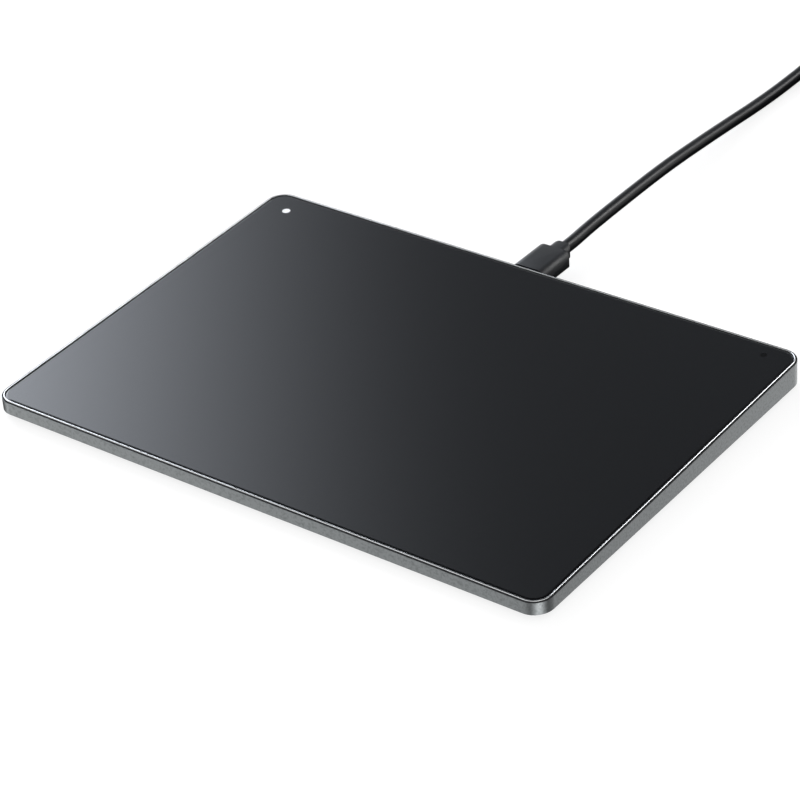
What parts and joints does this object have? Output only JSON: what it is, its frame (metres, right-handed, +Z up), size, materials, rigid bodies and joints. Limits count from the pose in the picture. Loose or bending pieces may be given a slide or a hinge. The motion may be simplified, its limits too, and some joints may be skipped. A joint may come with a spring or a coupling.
{
  "type": "trackpad",
  "caption": "Wedge-shaped desk trackpad: a dark glass plate that clicks on a rear flexure, in a grey metal frame with a bright trim ring, and a plug-in lead at the rear edge.",
  "frame": {"origin": "on the table under the middle of the housing, at the soles of the feet", "axes": "+X to the user's right, +Y to the rear edge where the lead plugs in, +Z up out of the glass"},
  "size_m": [0.1596, 0.2952, 0.0087],
  "materials": {
    "anodised_aluminium": "bead-blasted and anodised grey",
    "anodised_cover": "bead-blasted and anodised grey",
    "polished_aluminium": "polished",
    "screw_steel": "zinc plated",
    "spring_steel": "rolled",
    "plated_steel": "nickel plated",
    "foot_rubber": "matt silicone",
    "black_glass": "etched satin glass with a black back print",
    "film": "matt adhesive film",
    "circuit_board": "solder mask over glass-fibre laminate",
    "chip_plastic": "moulded epoxy",
    "ceramic": "fired ceramic",
    "led_body": "clear encapsulant",
    "lit_window": "lit light guide",
    "dark_window": "smoked light guide",
    "switch_housing": "moulded",
    "switch_plunger": "moulded",
    "ribbon": "laminated polyester",
    "socket_plastic": "moulded",
    "moulded_plug": "fine spark-eroded moulding",
    "lead_jacket": "matt extruded jacket",
    "tie_strap": "woven strap"
  },
  "bodies": {
    "housing": {"frame": "anodised_aluminium", "trim_ring": "polished_aluminium", "bottom_cover": "anodised_cover", "cover_screws": "screw_steel", "foot_front_left": "foot_rubber", "foot_front_right": "foot_rubber", "foot_rear_left": "foot_rubber", "foot_rear_right": "foot_rubber", "hinge_screws": "screw_steel", "adjusting_screw": "screw_steel", "damping_pads": "foot_rubber", "port_board": "circuit_board", "port_board_screws": "screw_steel", "port_shell": "plated_steel", "port_tongue": "chip_plastic", "surge_protector": "chip_plastic", "flat_cable": "ribbon", "flat_cable_socket_lower": "socket_plastic"},
    "touch_plate": {"cover_glass": "black_glass", "bonding_film": "film", "sensor_board": "circuit_board", "touch_controller": "chip_plastic", "usb_controller": "chip_plastic", "small_components": "ceramic", "power_led": "led_body", "status_led": "led_body", "power_window": "lit_window", "status_window": "dark_window", "hinge_leaf_left": "spring_steel", "hinge_leaf_right": "spring_steel", "click_switch": "switch_housing", "flat_cable_socket_upper": "socket_plastic"},
    "plunger": {"switch_plunger": "switch_plunger"},
    "lead": {"plug_body": "moulded_plug", "plug_shell": "plated_steel", "lead_run": "lead_jacket", "lead_coil": "lead_jacket", "lead_tail": "lead_jacket", "coil_tie": "tie_strap", "host_plug_relief": "moulded_plug", "host_plug_body": "moulded_plug", "host_plug_shell": "plated_steel", "host_plug_tongue": "socket_plastic"}
  },
  "joints": [
    {"name": "plate_click", "type": "hinge", "parent": "housing", "child": "touch_plate", "pos_m": [0, 0.04188, 0.00412], "axis": [1, 0, 0], "range_deg": [0, 0.2], "stiffness_Nm_per_rad": 20, "springref_deg": -0.13},
    {"name": "plunger_press", "type": "slide", "parent": "touch_plate", "child": "plunger", "axis": [0, -0.027, 0.9996], "range_m": [0, 0.0003]},
    {"name": "plug_pull", "type": "slide", "parent": "housing", "child": "lead", "axis": [0, 1, 0], "range_m": [0, 0.012]}
  ],
  "couplings": [
    {"joint": "plunger_press", "follows": "plate_click", "m_per_rad": 0.0857}
  ]
}
